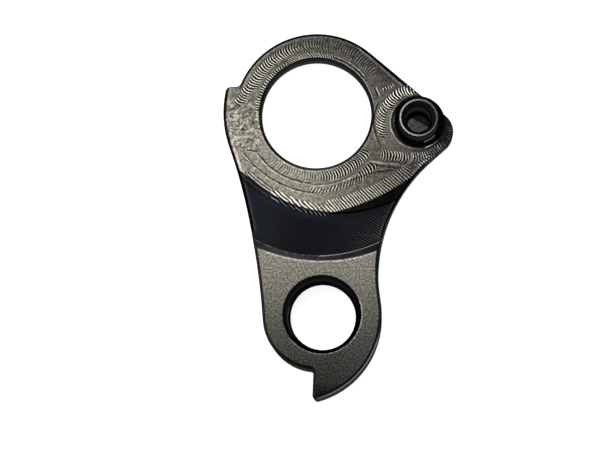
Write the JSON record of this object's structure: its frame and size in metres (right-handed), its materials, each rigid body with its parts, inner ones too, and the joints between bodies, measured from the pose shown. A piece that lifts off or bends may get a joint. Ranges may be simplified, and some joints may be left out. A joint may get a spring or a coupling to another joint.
{
  "type": "bicycle derailleur hanger",
  "caption": "Milled plate that hangs a rear derailleur from a bicycle frame: axle bore, tapped locating boss, ramp, and a thick tapped tab with a stop tooth.",
  "frame": {"origin": "centre of the axle bore on the flat back face", "axes": "+Z along the axle bore and out of the milled front face, +Y up from the tab to the axle bore, +X forward towards the boss"},
  "size_m": [0.033, 0.0529, 0.007],
  "materials": {
    "black_anodised": "black anodised aluminium, with fine milling marks on the plate and a satin tab face"
  },
  "bodies": {
    "root": {"hanger": "black_anodised"}
  },
  "joints": []
}
